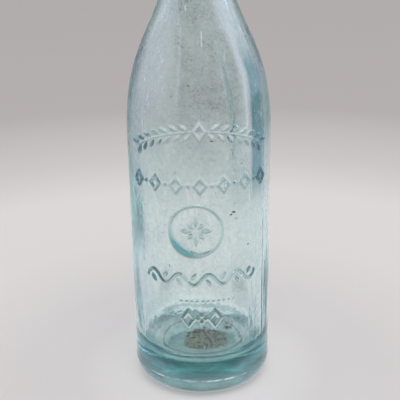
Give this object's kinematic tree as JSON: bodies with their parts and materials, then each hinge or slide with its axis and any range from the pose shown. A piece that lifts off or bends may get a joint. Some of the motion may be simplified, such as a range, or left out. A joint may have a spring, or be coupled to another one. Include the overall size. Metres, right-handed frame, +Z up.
{
  "type": "glass soda bottle",
  "caption": "Aqua glass soda bottle with a cylindrical body, rounded shoulder, thick base and crown finish, closed by a lift-off fluted crown lined with cork.",
  "frame": {"origin": "centre of the ring that the bottle stands on, at the level of the table", "axes": "+Z up along the bottle's axis, -Y towards the front panel, +X to the right of someone facing the front"},
  "size_m": [0.057, 0.057, 0.2057],
  "materials": {
    "aqua_glass": "mould-blown aqua glass, clear with fine seeds, waves and handling wear",
    "tinplate": "plain tinplate, dulled, with specks of rust at the skirt's edge",
    "cork": "fine-grained pressed cork",
    "dried_film": "matt mineral film, tan",
    "dried_crumbs": "matt dark brown crumbs"
  },
  "bodies": {
    "bottle": {"glass_bottle": "aqua_glass", "residue_film": "dried_film", "residue_grains": "dried_crumbs"},
    "crown": {"crown_shell": "tinplate", "cork_disc": "cork"}
  },
  "joints": [
    {"name": "crown_lift", "type": "slide", "parent": "bottle", "child": "crown", "axis": [0, 0, 1], "range_m": [0, 0.06]}
  ]
}
